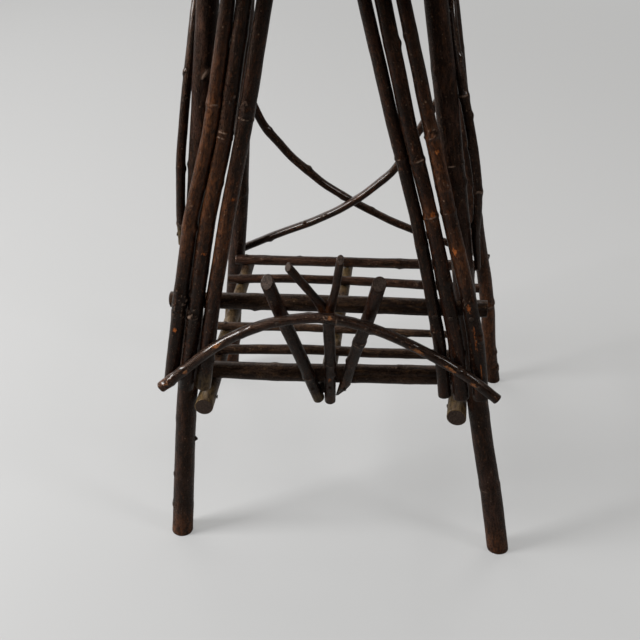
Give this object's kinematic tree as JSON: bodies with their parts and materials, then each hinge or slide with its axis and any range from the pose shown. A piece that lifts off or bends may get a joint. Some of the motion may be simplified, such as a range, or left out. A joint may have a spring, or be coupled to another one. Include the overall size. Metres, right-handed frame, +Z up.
{
  "type": "rustic hickory table",
  "caption": "Small rustic table nailed together from bark-on hickory sticks, with a slatted shelf, a bent arch over a fan of sticks, and a board top.",
  "frame": {"origin": "on the floor under the middle of the four feet", "axes": "+Z up, -Y to the front, where the arch and the fan are, +X to the right seen from the front"},
  "size_m": [0.4345, 0.4185, 0.7393],
  "materials": {
    "leg_bark": "varnished bark, satin",
    "stick_bark": "varnished bark, satin",
    "board": "dark stained boards, satin",
    "nail": "dull iron"
  },
  "bodies": {
    "root": {"arch_nails": "nail", "back_brace_a": "stick_bark", "back_brace_b": "stick_bark", "back_edge_stick": "stick_bark", "back_left_leg": "leg_bark", "back_right_leg": "leg_bark", "bent_arch": "stick_bark", "board_nails": "nail", "brace_nails": "nail", "bundle_nails": "nail", "edge_nails": "nail", "fan_forked_stick": "stick_bark", "fan_left_stick": "stick_bark", "fan_nails": "nail", "fan_right_stick": "stick_bark", "frame_nails": "nail", "front_edge_stick": "stick_bark", "front_left_leg": "leg_bark", "front_right_leg": "leg_bark", "left_bundle_inner_stick": "stick_bark", "left_bundle_middle_stick": "stick_bark", "left_bundle_outer_stick": "stick_bark", "left_edge_stick": "stick_bark", "left_side_brace": "stick_bark", "right_bundle_inner_stick": "stick_bark", "right_bundle_middle_stick": "stick_bark", "right_bundle_outer_stick": "stick_bark", "right_edge_stick": "stick_bark", "right_side_brace": "stick_bark", "shelf_left_rail": "stick_bark", "shelf_middle_rail": "stick_bark", "shelf_nails": "nail", "shelf_right_rail": "stick_bark", "shelf_slat_1": "stick_bark", "shelf_slat_2": "stick_bark", "shelf_slat_3": "stick_bark", "shelf_slat_4": "stick_bark", "shelf_slat_5": "stick_bark", "shelf_slat_6": "stick_bark", "top_back_rail": "stick_bark", "top_board_1": "board", "top_board_2": "board", "top_board_3": "board", "top_board_4": "board", "top_front_rail": "stick_bark", "top_left_rail": "stick_bark", "top_right_rail": "stick_bark", "upper_front_rail": "stick_bark"}
  },
  "joints": []
}
